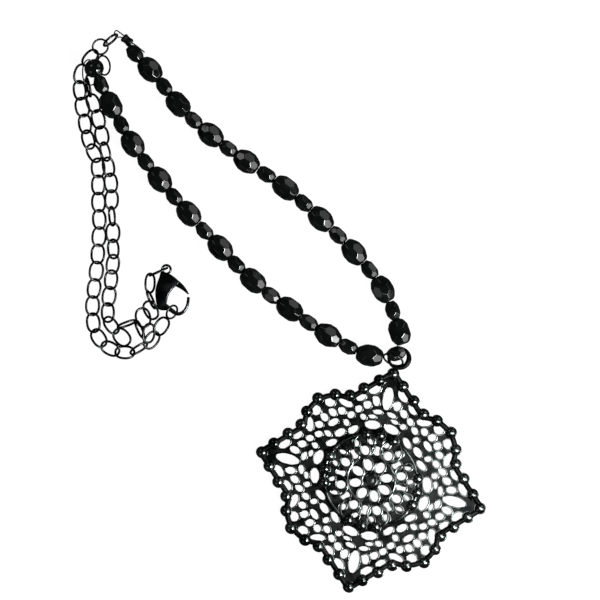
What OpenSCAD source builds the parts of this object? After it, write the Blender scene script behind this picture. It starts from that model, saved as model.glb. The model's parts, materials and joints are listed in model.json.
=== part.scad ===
// Statement necklace of black glass beads with a filigree pendant, lying flat as seen from above.
// Millimetres. +X to the right, +Y towards the ends of the bead string, +Z up from the surface.

/* [Beads] */
// Length of a large bead along the wire
large_len = 6.95; // [6:0.05:7.2]
// Width of a large bead
large_wid = 6; // [5:0.1:6]
// Length of a small bead along the wire
small_len = 4.8; // [4:0.1:5.1]
// Width of a small bead
small_wid = 4; // [3:0.1:4]
// Radius of the hole through each bead
bore_r = 0.55; // [0.4:0.05:0.7]
// Width of the flat end of a bead, as a share of its width
end_share = 0.5; // [0.3:0.05:0.6]
// Radius of the stringing wire
wire_r = 0.2; // [0.15:0.05:0.3]

/* [Chain] */
// Outer length of a chain link
link_len = 5.7; // [5.5:0.02:5.8]
// Outer width of a chain link
link_wid = 4.5; // [3.8:0.1:4.6]
// Thickness of the chain wire
link_wire = 0.6; // [0.5:0.05:0.7]

/* [Clasp] */
// Thickness of the clasp body
clasp_t = 2.6; // [2.2:0.1:3]
// Thickness of the lever
lever_t = 1; // [0.8:0.1:1.2]
// Clearance round the lever and its pin
lever_gap = 0.05; // [0.03:0.01:0.1]
// Radius of the pivot pin
pin_r = 0.4; // [0.3:0.05:0.5]

/* [Pendant] */
// Distance from the centre of the pendant to a corner
corner_r = 31; // [30:0.5:32]
// Thickness of the openwork plate
plate_t = 1.2; // [1:0.1:1.4]
// Radius of a border ball
ball_r = 1.5; // [1.4:0.05:1.7]
// Radius of a ball on the rosette
rosette_ball_r = 1.45; // [1.2:0.05:1.5]
// Thickness of the rosette
rosette_t = 1.2; // [1:0.1:1.4]
// How much each opening of the openwork is widened on every side
cell_grow = 0.14; // [0:0.02:0.16]

/* [Hidden] */
// Which sub-part is drawn

pair_count = 18;
bead_lift = 0.03;
wire_z = large_wid / 2 + bead_lift;
link_lift = 0.02;

// The photo's scale and the pixel over the origin
photo_scale = 0.27;
photo_mid = [278.75, 310.5];

function two(n) = n < 10 ? str("0", n) : str(n);
function large_name(i) = str("large_bead_", two(i));
function small_name(i) = str("small_bead_", two(i));

// Curves: a smooth line through a route's points, measured along its length

curve_steps = 8;

// Point at share t of the stretch from p1 to p2, with p0 and p3 as its neighbours
function curve_point(p0, p1, p2, p3, t) =
    0.5 * (2 * p1 + (p2 - p0) * t + (2 * p0 - 5 * p1 + 4 * p2 - p3) * t * t
           + (3 * p1 - p0 - 3 * p2 + p3) * t * t * t);

// Close points on the smooth curve through a route
function smooth(route) = concat(
    [for (i = [0:len(route) - 2]) for (j = [0:curve_steps - 1])
        curve_point(route[max(i - 1, 0)], route[i], route[i + 1], route[min(i + 2, len(route) - 1)],
                    j / curve_steps)],
    [route[len(route) - 1]]);

// The same points, each with its distance from the start in front
function measured(pts) = [
    for (i = 0, s = 0; i < len(pts);
         s = s + (i + 1 < len(pts) ? norm(pts[i + 1] - pts[i]) : 0), i = i + 1)
        [s, pts[i][0], pts[i][1], pts[i][2]]];

// Point of a measured track at distance s
function along(track, s) = [for (k = [1:3]) lookup(s, [for (row = track) [row[0], row[k]]])];

function track_length(track) = track[len(track) - 1][0];

function unit(v) = v / norm(v);

// Turns +Z to a direction and moves to a place
module aimed(at, dir) {
    translate(at)
        rotate([0, atan2(norm([dir[0], dir[1]]), dir[2]), atan2(dir[1], dir[0])])
            children();
}

// Tube through points with a radius at each, closed at both ends or joined into a loop
module tube(pts, radii, sides, loop = false) {
    count = len(pts);
    rings = [for (i = [0:count - 1])
        let (before = pts[loop ? (i + count - 1) % count : max(i - 1, 0)],
             after = pts[loop ? (i + 1) % count : min(i + 1, count - 1)],
             along_dir = unit(after - before),
             side = unit(cross(along_dir, abs(along_dir[2]) > 0.9 ? [1, 0, 0] : [0, 0, 1])),
             up = cross(side, along_dir))
        [for (k = [0:sides - 1])
            pts[i] + radii[i] * (cos(360 * k / sides) * side + sin(360 * k / sides) * up)]];
    verts = [for (ring = rings) for (p = ring) p];
    walls = [for (i = [0:count - (loop ? 1 : 2)]) for (k = [0:sides - 1])
        let (j = (i + 1) % count, m = (k + 1) % sides)
        [i * sides + k, i * sides + m, j * sides + m, j * sides + k]];
    ends = loop ? [] : [
        [for (k = [sides - 1:-1:0]) k],
        [for (k = [0:sides - 1]) (count - 1) * sides + k]];
    polyhedron(verts, concat(walls, ends), convexity = 8);
}

// Exact ring of round wire, lying flat round the origin
module ring(mid_r, r) {
    rotate_extrude($fn = 48) translate([mid_r, 0]) circle(r, $fn = 24);
}

// Beads

// Route of the bead string: the first end, down one side, round the bend and back up the other
//          x      y     z
STRING_A = [
    [-41.0,  71.9, 2.3],
    [-38.7,  68.6, 2.8],
    [-34.4,  65.2, 3.2],
    [-27.5,  55.8, 3.1],
    [-18.6,  47.5, wire_z],
    [ -8.7,  40.1, wire_z],
    [  1.9,  33.1, wire_z],
    [ 11.4,  24.6, wire_z],
    [ 20.3,  15.8, wire_z],
    [ 28.3,   5.8, wire_z],
    [ 31.8,  -3.2, wire_z]];
STRING_B = [
    [ 21.6, -11.2, wire_z],
    [ 13.3,  -6.8, wire_z],
    [  3.1,   0.3, wire_z],
    [ -7.0,   8.0, wire_z],
    [-15.7,  16.9, wire_z],
    [-24.0,  25.8, wire_z],
    [-31.9,  35.1, wire_z],
    [-39.6,  45.0, wire_z],
    [-45.1,  55.2, 3.1],
    [-47.9,  60.7, 3.1],
    [-48.9,  63.2, 3.4]];
TRACK_A = measured(smooth(STRING_A));
TRACK_B = measured(smooth(STRING_B));

// Places of the two large beads and the small bead at the bend: centre and direction
BEND_LAST = [[32.55, -5.75, wire_z], unit([0.32, -0.95, 0])];
BEND_SMALL = [[31.63, -11.63, 2.74], unit([-0.95, -0.31, 0])];
BEND_FIRST = [[24.48, -12.12, wire_z], unit([-0.98, 0.18, 0])];

// Steps from bead to bead on each side: the ten nearest to the bend, then the rest
STEPS_A = [6.34, 6.04];
STEPS_B = [6.26, 6.03];
near_beads = 10;
function bead_step(steps, k) = steps[0] * min(k, near_beads) + steps[1] * max(k - near_beads, 0);

// A bead's place on a track: centre and direction
function seat(track, s, length) =
    let (a = along(track, s - length / 2), b = along(track, s + length / 2))
    [(a + b) / 2, unit(b - a)];

// First bead of each track after the bend's own, and the seat k beads away from the bend
first_a = track_length(TRACK_A) - 3.4;
first_b = 3.2;
function seat_a(k, length) = seat(TRACK_A, first_a - bead_step(STEPS_A, k) + bead_step(STEPS_A, 1), length);
function seat_b(k, length) = seat(TRACK_B, first_b + bead_step(STEPS_B, k) - bead_step(STEPS_B, 1), length);

side_pairs = pair_count / 2;
function large_seat(i) =
    i == side_pairs ? BEND_LAST
    : i == side_pairs + 1 ? BEND_FIRST
    : i < side_pairs ? seat_a(2 * (side_pairs - i), large_len)
    : seat_b(2 * (i - side_pairs - 1), large_len);
function small_seat(i) =
    i == side_pairs + 1 ? BEND_SMALL
    : i <= side_pairs ? seat_a(2 * (side_pairs - i) + 1, small_len)
    : seat_b(2 * (i - side_pairs - 2) + 1, small_len);

// Shares of half the length at which the bead's flat bands meet
BAND_SHARES = [-1, -0.78, -0.42, 0, 0.42, 0.78, 1];

// Barrel of flat bands that follow an ellipse, with the hole left open
module barrel(length, width, hole) {
    ellipse_half = length / 2 / sqrt(1 - end_share * end_share);
    outer = [for (f = BAND_SHARES)
        let (z = f * length / 2) [width / 2 * sqrt(1 - pow(z / ellipse_half, 2)), z]];
    rotate_extrude($fn = 48)
        polygon(concat(outer, [[hole, length / 2], [hole, -length / 2]]));
}

module large_bead(i) {
    place = large_seat(i);
    color([0.05, 0.05, 0.06]) aimed(place[0], place[1]) barrel(large_len, large_wid, bore_r);
}

module small_bead(i) {
    place = small_seat(i);
    color([0.08, 0.08, 0.09]) aimed(place[0], place[1]) barrel(small_len, small_wid, bore_r);
}

END_BEAD = [-49.7, 65.2, 5.08];
END_BEAD_DIR = unit([-0.35, 0.8, 0.5]);
end_bead_len = 4.6;
end_bead_wid = 5.3;

module end_bead() {
    color([0.05, 0.05, 0.06]) aimed(END_BEAD, END_BEAD_DIR) barrel(end_bead_len, end_bead_wid, bore_r);
}

// Stringing wire and its ends

wire_sides = 6;
crimp_len = 2.6;
crimp_r = 1.25;
crimp_hole = 0.75;
crimp_groove = 0.15;
CRIMP = [-40.9, 72.9, 1.6];
CRIMP_DIR = unit([0.75, -0.66, 0.12]);
crimp_side = 0.35;

module crimp() {
    half_len = crimp_len / 2;
    color([0.2, 0.2, 0.22]) aimed(CRIMP, CRIMP_DIR)
        rotate_extrude($fn = 48) polygon([
            [crimp_hole, -half_len], [crimp_r, -half_len], [crimp_r, -0.5 * half_len],
            [crimp_r - crimp_groove, -0.3 * half_len], [crimp_r - crimp_groove, 0.3 * half_len],
            [crimp_r, 0.5 * half_len], [crimp_r, half_len], [crimp_hole, half_len]]);
}

// Wire route past the first bead: out through the crimp, round the loop, back and out as a tail
CRIMP_SIDE = crimp_side * unit(cross(CRIMP_DIR, [0, 0, 1]));
LOOP_A = [
    CRIMP + 1.6 * CRIMP_DIR - CRIMP_SIDE,
    CRIMP - 1.5 * CRIMP_DIR - CRIMP_SIDE,
    [-43.7, 73.4, 1.9],
    [-44.2, 74.1, 2.1],
    [-44.2, 74.9, 2.1],
    [-43.8, 75.5, 2.0],
    [-43.1, 75.4, 1.8],
    CRIMP - 1.5 * CRIMP_DIR + CRIMP_SIDE,
    CRIMP + 1.6 * CRIMP_DIR + CRIMP_SIDE,
    [-38.2, 72.2, 3.7],
    [-36.1, 69.6, 4.9]];

// Wire route past the last bead: through the end bead, over its side and round a loop
LOOP_B = [
    END_BEAD - 2.6 * END_BEAD_DIR,
    END_BEAD + 2.6 * END_BEAD_DIR,
    [-51.9, 67.1, 6.1],
    [-52.7, 65.4, 4.8],
    [-52.8, 63.0, 2.2],
    [-52.2, 61.5, 1.2],
    [-50.8, 60.8, 1.0],
    [-49.5, 61.4, 1.0],
    [-49.2, 62.2, 1.0]];

// The wire where it enters a bead and where it leaves it
function bead_in(place, length) = place[0] - place[1] * length / 2;
function bead_out(place, length) = place[0] + place[1] * length / 2;

// Through every bead in order, joined to the two ends
WIRE = concat(
    [for (i = [len(LOOP_A) - 1:-1:0]) LOOP_A[i]],
    [for (i = [1:side_pairs]) each [
        bead_in(small_seat(i), small_len), bead_out(small_seat(i), small_len),
        bead_in(large_seat(i), large_len), bead_out(large_seat(i), large_len)]],
    [bead_in(BEND_SMALL, small_len), bead_out(BEND_SMALL, small_len)],
    [for (i = [side_pairs + 1:pair_count]) each [
        bead_in(large_seat(i), large_len), bead_out(large_seat(i), large_len),
        bead_in(small_seat(i + 1), small_len), bead_out(small_seat(i + 1), small_len)]],
    LOOP_B);

module stringing_wire() {
    color([0.25, 0.25, 0.27]) tube(WIRE, [for (p = WIRE) wire_r], wire_sides);
}

module jump_ring() {
    color([0.15, 0.15, 0.17])
        translate([-45.35, 72.9, 2.5]) rotate([0, 0, 40]) rotate([76, 0, 0]) ring(2.25, 0.3);
}

module end_ring() {
    color([0.15, 0.15, 0.17]) translate([-48.1, 71.15, 1.63]) rotate([14, 10, 0]) ring(2.07, 0.23);
}

module oval_ring() {
    color([0.15, 0.15, 0.17]) translate([-47.2, 66.1, 2.4]) rotate([0, -48, 12]) ring(2.6, 0.22);
}

// Bail link: the ring round the bare wire beside the bend bead and round the pendant's own ring
BAIL_LINK_END = [28.35, -12.15, 2.68];
bail_link_r = 2.74;
bail_link_turn = -23.5;
bail_link_roll = 60.3;
module bail_link() {
    color([0.15, 0.15, 0.17])
        translate(BAIL_LINK_END) rotate([0, 0, bail_link_turn]) rotate([bail_link_roll, 0, 0])
            translate([bail_link_r, 0, 0]) ring(bail_link_r, 0.24);
}

// Pendant

// The pattern is drawn square with a corner at the top, then laid over the pendant's own two diagonals
PENDANT = [24.9, -45.8];
DIAGONAL_RIGHT = [30.3, -7.8] / 31;
DIAGONAL_UP = [6.2, 29.6] / 31;
module laid() {
    multmatrix([
        [DIAGONAL_RIGHT[0], DIAGONAL_UP[0], 0, PENDANT[0]],
        [DIAGONAL_RIGHT[1], DIAGONAL_UP[1], 0, PENDANT[1]],
        [0, 0, 1, 0],
        [0, 0, 0, 1]]) children();
}
function laid_point(p) = PENDANT + p[0] * DIAGONAL_RIGHT + p[1] * DIAGONAL_UP;

// Openings of one eighth of the plate, mirrored and turned to the other seven
//    x     y     half length, half width, angle
PLATE_CELLS = [
    [ 0.0, 23.0, 3.0, 1.2, 90],
    [ 3.9, 24.7, 1.6, 1.0, -42],
    [ 7.1, 21.7, 1.3, 0.8, -45],
    [ 2.9, 21.6, 1.2, 0.8, 78],
    [ 5.0, 20.0, 1.0, 0.8, -60],
    [ 7.1, 18.3, 0.9, 0.7, -65],
    [ 8.8, 16.2, 0.9, 0.7, -55],
    [ 1.9, 18.8, 1.1, 0.5, -12],
    [ 3.1, 17.2, 0.8, 0.4, -10],
    [ 5.5, 16.5, 0.7, 0.6, 40],
    [ 2.6, 15.0, 1.9, 1.0, -12],
    [10.9, 19.2, 1.9, 0.9, 17],
    [15.0, 18.2, 1.2, 1.1, -20],
    [11.4, 16.6, 0.9, 0.8, -70],
    [13.7, 15.6, 1.0, 0.8, 40],
    [13.0, 13.0, 1.4, 0.7, 135],
    [ 9.6, 13.8, 0.8, 0.6, 60],
    [10.7, 10.7, 1.4, 0.8, 135],
    [ 7.4, 12.4, 1.4, 0.7, -52]];

// Rings of openings in the rosette
//    distance, count, first angle, half length, half width
ROSETTE_CELLS = [
    [ 4.3,  8, 22.5, 1.5, 1.1],
    [ 8.3, 16,  0.0, 1.2, 1.05],
    [10.8, 16, 11.25, 0.9, 0.75]];

cell_points = 8;
rim_inner_r = 12.2;
rosette_r = 13.0;
hub_r = 2.2;
hub_top_r = 1.3;
hub_h = 0.9;

// An opening: the flat-sided oval that touches its ellipse from outside
module cell(row) {
    translate([row[0], row[1]]) rotate(row[4])
        scale([row[2] + cell_grow, row[3] + cell_grow])
            rotate(180 / cell_points) circle(1 / cos(180 / cell_points), $fn = cell_points);
}

// Balls along one side, mirrored about its middle: share of the side, distance outside its line
BORDER_BALLS = [[0.11, -0.3], [0.22, 0], [0.32, 0.3], [0.395, 2.5], [0.5, 4]];
function border_ball(row, far) =
    let (t = far ? 1 - row[0] : row[0])
    [corner_r * t, corner_r * (1 - t)] + row[1] * [1, 1] / sqrt(2);
corner_ball_at = 0.97 * corner_r;
CORNER_BALL = [0, corner_ball_at];

// Angles of the three rosette balls about each corner's direction
ROSETTE_BALLS = [-17, 0, 17];
rosette_ball_at = 12.7;

// Turned to all four corners, and mirrored as well
module four() {
    for (q = [0:3]) rotate(90 * q) children();
}
module eight() {
    for (m = [0, 1]) mirror([m, 0]) four() children();
}

function turned(p, a) = [p[0] * cos(a) - p[1] * sin(a), p[0] * sin(a) + p[1] * cos(a)];
BALLS = [for (q = [0:3]) each concat(
    [turned(CORNER_BALL, 90 * q)],
    [for (row = BORDER_BALLS) turned(border_ball(row, false), 90 * q)],
    [for (row = BORDER_BALLS) if (row[0] < 0.5) turned(border_ball(row, true), 90 * q)])];
TOP_BALLS = [for (q = [0:3]) for (a = ROSETTE_BALLS) turned([0, rosette_ball_at], 90 * q + a)];

disc_margin = 0.15;
// How far the drawn edges are let out, so that openings which just touch merge cleanly
edge_ease = 0.012;
plate_z = 0.4;
rosette_z = plate_z + plate_t;
fan_at = 12.1;
fan_r = 8.8;

module plate_outline() {
    rotate(45) square(corner_r * sqrt(2), center = true);
    four() translate([fan_at, fan_at]) circle(fan_r, $fn = 32);
    for (p = BALLS) translate(p) circle(ball_r + disc_margin, $fn = 12);
}

// Openwork plate
module plate() {
    translate([0, 0, plate_z]) linear_extrude(plate_t) offset(delta = edge_ease) laid() difference() {
        plate_outline();
        circle(rim_inner_r, $fn = 48);
        eight() for (row = PLATE_CELLS) cell(row);
    }
}

// Rosette that stands on the plate
module rosette() {
    translate([0, 0, rosette_z]) linear_extrude(rosette_t) offset(delta = edge_ease) laid() difference() {
        union() {
            circle(rosette_r, $fn = 48);
            for (p = TOP_BALLS) translate(p) circle(rosette_ball_r + disc_margin, $fn = 12);
        }
        for (row = ROSETTE_CELLS) for (k = [0:row[1] - 1])
            rotate(row[2] + k * 360 / row[1]) cell([0, row[0], row[3], row[4], 90]);
    }
}

// Bail ring: it leans so that it passes under the bend bead and rises to the corner ball
BAIL = [32.42, -12.82, 1.2];
BAIL_LOW_DIR = unit([-0.62, 0.78, 0]);
bail_r = 2.75;
bail_wire = 0.42;
bail_lean = 12.8;
module bail_ring() {
    translate(BAIL) rotate([0, 0, atan2(BAIL_LOW_DIR[1], BAIL_LOW_DIR[0])])
        rotate([0, bail_lean, 0]) ring(bail_r, bail_wire);
}

module pendant() {
    color([0.12, 0.12, 0.14]) union() {
        plate();
        rosette();
        for (p = BALLS) translate(concat(laid_point(p), [ball_r])) sphere(ball_r, $fn = 32);
        for (p = TOP_BALLS)
            translate(concat(laid_point(p), [rosette_z + rosette_t])) sphere(rosette_ball_r, $fn = 32);
        translate(concat(PENDANT, [rosette_z + rosette_t])) cylinder(hub_h, hub_r, hub_top_r, $fn = 32);
        bail_ring();
    }
}

// Chain

link_sides = 6;
end_steps = 4;
// Centre line of an oval link in its own plane, long way along X
LINK_LINE = [for (e = [0, 1]) for (k = [0:end_steps])
    let (mid_r = (link_wid - link_wire) / 2,
         a = -90 + 180 * k / end_steps + 180 * e,
         shift = (link_len - link_wid) / 2 * (e == 0 ? 1 : -1))
    [shift + mid_r * cos(a), mid_r * sin(a), 0]];

module oval_link() {
    tube(LINK_LINE, [for (p = LINK_LINE) link_wire / 2], link_sides, loop = true);
}

// A link from one point of the run to the next
module chain_link(a, b, roll) {
    span = b - a;
    translate((a + b) / 2)
        rotate([0, -atan2(span[2], norm([span[0], span[1]])), atan2(span[1], span[0])])
            rotate([roll, 0, 0])
                oval_link();
}

// Height at which a rolled link rests
function rest_z(roll) = (link_wid - link_wire) / 2 * abs(sin(roll)) + link_wire / 2 + link_lift;

// A place read off the photo, which is seen from straight above
function read_off(across, down) =
    [(across - photo_mid[0]) * photo_scale, (photo_mid[1] - down) * photo_scale];

// A run of links between neighbouring joints, each resting at its own height
module chain_run(joints) {
    color([0.15, 0.15, 0.17]) union() {
        for (i = [0:len(joints) - 2]) {
            here = read_off(joints[i][0], joints[i][1]);
            next = read_off(joints[i + 1][0], joints[i + 1][1]);
            z = rest_z(joints[i][2]);
            chain_link(concat(here, [z]), concat(next, [z]), joints[i][2]);
        }
    }
}

// Outer run, from the first end's ring to the bend beside the clasp
//    across  down  roll of the link that starts there
OUTER_JOINTS = [
    [ 97.2,  50.4,  36],
    [ 83.5,  66.0, -30],
    [ 78.8,  82.0,  34],
    [ 81.0,  99.0, -25],
    [ 84.0, 115.5,  32],
    [ 86.5, 132.5, -38],
    [ 90.5, 147.0,  32],
    [ 98.0, 159.5, -30],
    [ 98.5, 176.5,  28],
    [ 98.5, 193.5, -28],
    [ 99.0, 211.0,  28],
    [100.0, 228.0, -25],
    [ 98.5, 245.5,  28],
    [ 97.5, 262.5, -26],
    [ 95.5, 280.0,  28],
    [ 93.0, 297.0, -28],
    [ 92.5, 314.5,  28],
    [ 94.5, 331.0, -28],
    [103.5, 345.0,  30],
    [117.5, 352.0, -35],
    [132.5, 352.5,  66],
    [145.5, 344.5,   0]];

// Inner run, from the second end's wire loop to the turn below the clasp
//    across  down  roll of the link that starts there
INNER_JOINTS = [
    [ 87.0,  79.5,  78],
    [ 90.5,  95.5, -34],
    [ 96.5, 111.5,  28],
    [100.5, 127.5, -28],
    [103.5, 144.0,  52],
    [107.5, 159.5, -42],
    [110.0, 174.5,  28],
    [112.0, 191.5, -30],
    [111.5, 208.0,  66],
    [113.0, 224.5, -26],
    [113.0, 241.0,  42],
    [114.0, 257.0, -34],
    [112.0, 271.5,  30],
    [110.5, 288.0, -28],
    [108.0, 304.5,  32],
    [108.0, 320.5, -40],
    [115.0, 330.0,   0]];

// Hook run, from the outer run's end to the ring in the hook
HOOK_JOINTS = [
    [146.7, 346.8,  32],
    [156.8, 333.3, -30],
    [166.2, 319.2,   0]];

// Slack links of the tail, from the inner run's end up to the clasp's own ring
//    x      y      z    heading, roll
TAIL_LINKS = [
    [-42.3,  -7.2, 1.5,  -48,   6],
    [-41.0,  -3.6, 2.2,   20,  75],
    [-37.5,  -5.0, 2.3,  -66,  70],
    [-35.0,  -6.1, 3.8,   82,  40],
    [-36.6,  -1.9, 1.4,  102,  12],
    [-34.5,   0.1, 1.6,  -62,  28],
    [-34.4,   2.9, 2.2,  -66,  75],
    [-34.7,   7.4, 1.9,   88,  52],
    [-32.4, 10.45, 2.45,  24,  92]];

module chain_outer() { chain_run(OUTER_JOINTS); }
module chain_inner() { chain_run(INNER_JOINTS); }
module chain_hook() { chain_run(HOOK_JOINTS); }
module chain_tail() {
    color([0.15, 0.15, 0.17]) union() {
        for (row = TAIL_LINKS)
            translate([row[0], row[1], row[2]]) rotate([0, 0, row[3]]) rotate([row[4], 0, 0]) oval_link();
    }
}

module hook_ring() {
    color([0.15, 0.15, 0.17])
        translate([-28.8, -0.4, 1.9]) rotate([0, 0, 60]) rotate([50, 0, 0]) ring(1.9, 0.27);
}

// Clasp

// Outline of the body: the tail end at the top, the mouth on the right
BODY_OUTLINE = [
    [-31.6, 10.4], [-29.1, 9.7], [-26.9, 7.6], [-28.6, 5.8], [-29.9, 3.6],
    [-30.2, 1.6], [-29.3, 0.5], [-31.2, 0.0], [-32.7, 0.8], [-33.3, 4.4], [-33.0, 6.8], [-32.2, 9.0]];
PIVOT = [-29.2, 7.9];
clasp_mid = clasp_t / 2;
slot_t = lever_t + 0.2;

// Centre line of the hook and its radius at each point
//    x      y     radius
hook_sides = 8;
HOOK = [
    [-30.6,  1.2, 0.75],
    [-29.0,  0.1, 0.62],
    [-27.3, -0.9, 0.52],
    [-25.7, -0.3, 0.46],
    [-24.7,  1.3, 0.42],
    [-24.4,  3.0, 0.40],
    [-24.4,  3.7, 0.38]];

module hook() {
    tube([for (row = HOOK) [row[0], row[1], clasp_mid]], [for (row = HOOK) row[2]], hook_sides);
}

module clasp_body() {
    color([0.1, 0.1, 0.12]) union() {
        difference() {
            linear_extrude(clasp_t) polygon(BODY_OUTLINE);
            translate([PIVOT[0], PIVOT[1], clasp_mid - slot_t / 2]) linear_extrude(slot_t)
                polygon([[-1.6, -1.4], [-1.6, 1.4], [0.2, 4], [4, 4], [4, -6], [-0.2, -3.2]]);
            translate([PIVOT[0], PIVOT[1], -1]) cylinder(clasp_t + 2, pin_r + 0.02, pin_r + 0.02, $fn = 32);
        }
        hook();
        translate([-30.3, 11.1, clasp_mid]) ring(1.15, 0.33);
    }
}

// Outline of the lever about its pivot: root, thick arm and pointed tip that meets the hook
LEVER_OUTLINE = [
    [-0.6, 1.0], [0.6, 1.2], [2.4, 0.0], [3.8, -1.4], [4.9, -3.2], [4.6, -3.5], [3.5, -2.6], [2.2, -1.8],
    [0.9, -1.2], [-0.4, -1.1], [-1.1, -0.3]];
module clasp_lever() {
    color([0.1, 0.1, 0.12]) difference() {
        translate([PIVOT[0], PIVOT[1], clasp_mid - lever_t / 2]) linear_extrude(lever_t)
            polygon(LEVER_OUTLINE);
        translate([PIVOT[0], PIVOT[1], -1])
            cylinder(clasp_t + 2, pin_r + lever_gap, pin_r + lever_gap, $fn = 32);
    }
}

module clasp_pin() {
    color([0.2, 0.2, 0.22])
        translate([PIVOT[0], PIVOT[1], 0.05]) cylinder(clasp_t - 0.1, pin_r, pin_r, $fn = 32);
}

for (i = [1:pair_count]) large_bead(i);
for (i = [1:pair_count + 1]) small_bead(i);
end_bead();
stringing_wire();
crimp();
jump_ring();
end_ring();
oval_ring();
bail_link();
pendant();
chain_outer();
chain_inner();
chain_tail();
chain_hook();
hook_ring();
clasp_body();
clasp_lever();
clasp_pin();
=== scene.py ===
"""Looks of a black bead necklace with a chain, a clasp and an openwork pendant.

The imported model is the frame. The tables below are in millimetres in the model's own axes,
and every mesh is put into the scene in metres.
"""

import json
import logging
import math
from dataclasses import dataclass, field, replace
from enum import Enum
from itertools import accumulate

import bpy
import numpy as np
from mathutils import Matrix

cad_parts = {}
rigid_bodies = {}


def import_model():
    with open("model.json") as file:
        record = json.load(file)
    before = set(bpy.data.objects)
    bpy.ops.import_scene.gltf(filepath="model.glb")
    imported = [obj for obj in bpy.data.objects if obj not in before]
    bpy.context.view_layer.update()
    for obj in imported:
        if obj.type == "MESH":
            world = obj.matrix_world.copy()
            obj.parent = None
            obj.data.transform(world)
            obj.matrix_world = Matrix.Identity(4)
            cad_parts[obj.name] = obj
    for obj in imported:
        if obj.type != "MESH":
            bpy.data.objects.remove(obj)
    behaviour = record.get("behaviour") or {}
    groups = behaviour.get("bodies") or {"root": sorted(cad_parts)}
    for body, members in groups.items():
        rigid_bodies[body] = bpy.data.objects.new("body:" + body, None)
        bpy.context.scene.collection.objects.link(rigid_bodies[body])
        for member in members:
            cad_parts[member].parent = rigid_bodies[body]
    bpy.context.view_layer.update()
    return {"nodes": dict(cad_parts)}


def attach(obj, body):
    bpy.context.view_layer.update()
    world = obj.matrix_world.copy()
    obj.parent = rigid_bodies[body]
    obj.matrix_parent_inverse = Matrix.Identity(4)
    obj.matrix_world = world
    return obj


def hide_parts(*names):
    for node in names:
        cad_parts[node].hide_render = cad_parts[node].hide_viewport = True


Flat = tuple[float, float]
Spot = tuple[float, float, float]
Rows = tuple[tuple[float, ...], ...]
Surface = tuple[np.ndarray, list[list[int]]]

LOG = logging.getLogger("necklace")
MM = 0.001
UP = np.array([0.0, 0.0, 1.0])
NECKLACE = "necklace"
LEVER = "lever"
SMALL_COUNT = 19
# general heading of the string from its first bead to its last, in degrees
STRING_HEADING = -42.0
# millimetres to a pixel of the photograph, and the pixel above the model's origin
PIXEL = 0.27
ORIGIN_PIXEL = (278.75, 310.5)
# middles and axes of the two pieces, besides the beads, that the string wire runs through
END_BEAD = (-49.7, 65.2, 5.08)
END_BEAD_AXIS = (-0.35, 0.8, 0.5)
CRIMP = (-40.9, 72.9, 1.6)
CRIMP_AXIS = (0.75, -0.66, 0.12)


def unit(vector: np.ndarray) -> np.ndarray:
    """Returns the vector, or each row of an array of vectors, at length one."""
    vector = np.asarray(vector, float)
    return vector / np.linalg.norm(vector, axis=-1, keepdims=True)


def round_turn(count: int) -> np.ndarray:
    """Returns evenly spaced angles of one full turn, in radians from zero."""
    return np.linspace(0, 2 * np.pi, count, endpoint=False)


def on_circle(a: np.ndarray) -> np.ndarray:
    """Returns cos(a) and sin(a) of each angle, one row each."""
    return np.stack([np.cos(a), np.sin(a)], axis=1)


def raised(flat: np.ndarray, z: float) -> np.ndarray:
    """Returns rows of x and y with a height added to each."""
    return np.column_stack([flat, np.full(len(flat), z)])


def turn(x: float = 0, y: float = 0, z: float = 0) -> np.ndarray:
    """Returns the 3 x 3 matrix of right-hand turns about x, then y, then z, given in degrees."""
    angles = np.radians([x, y, z])
    (cx, cy, cz), (sx, sy, sz) = np.cos(angles), np.sin(angles)
    about_x = np.array([[1, 0, 0], [0, cx, -sx], [0, sx, cx]])
    about_y = np.array([[cy, 0, sy], [0, 1, 0], [-sy, 0, cy]])
    about_z = np.array([[cz, -sz, 0], [sz, cz, 0], [0, 0, 1]])
    return about_z @ about_y @ about_x


def axis_rows(direction: Spot) -> np.ndarray:
    """Returns three unit rows: two square to a direction, the first one level, and the direction."""
    axis = unit(direction)
    side = unit(np.cross(axis, UP))
    return np.stack([side, np.cross(axis, side), axis])


def mesh_object(name: str, surfaces: list[Surface], smooth: bool = True) -> bpy.types.Object:
    """Makes one mesh object out of surfaces.

    Args:
        name: Name of the object and its mesh.
        surfaces: Points in millimetres and faces of each surface.
        smooth: Whether the faces are shaded smoothly.

    Returns:
        The object, at the origin.
    """
    starts = accumulate((len(points) for points, _ in surfaces), initial=0)
    faces = [[start + i for i in face] for start, (_, part) in zip(starts, surfaces) for face in part]
    mesh = bpy.data.meshes.new(name)
    mesh.from_pydata((np.vstack([points for points, _ in surfaces]) * MM).tolist(), [], faces)
    mesh.polygons.foreach_set("use_smooth", np.full(len(mesh.polygons), smooth))
    mesh.update()
    piece = bpy.data.objects.new(name, mesh)
    bpy.context.scene.collection.objects.link(piece)
    return piece


def grid_faces(rows: int, columns: int, closed: bool) -> list[list[int]]:
    """Four-sided faces of a grid whose columns run round.

    Args:
        rows: Number of rings of points.
        columns: Points on each ring.
        closed: Whether the last ring joins the first one. If not, a flat face covers each of them.

    Returns:
        The faces as lists of point numbers, row by row.
    """
    i, k = np.meshgrid(np.arange(rows if closed else rows - 1), np.arange(columns), indexing="ij")
    j, m = (i + 1) % rows, (k + 1) % columns
    quads = np.stack([i * columns + k, i * columns + m, j * columns + m, j * columns + k], axis=-1)
    faces = quads.reshape(-1, 4).tolist()
    if not closed:
        faces.append(list(range(columns))[::-1])
        faces.append(list(range((rows - 1) * columns, rows * columns)))
    return faces


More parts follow.
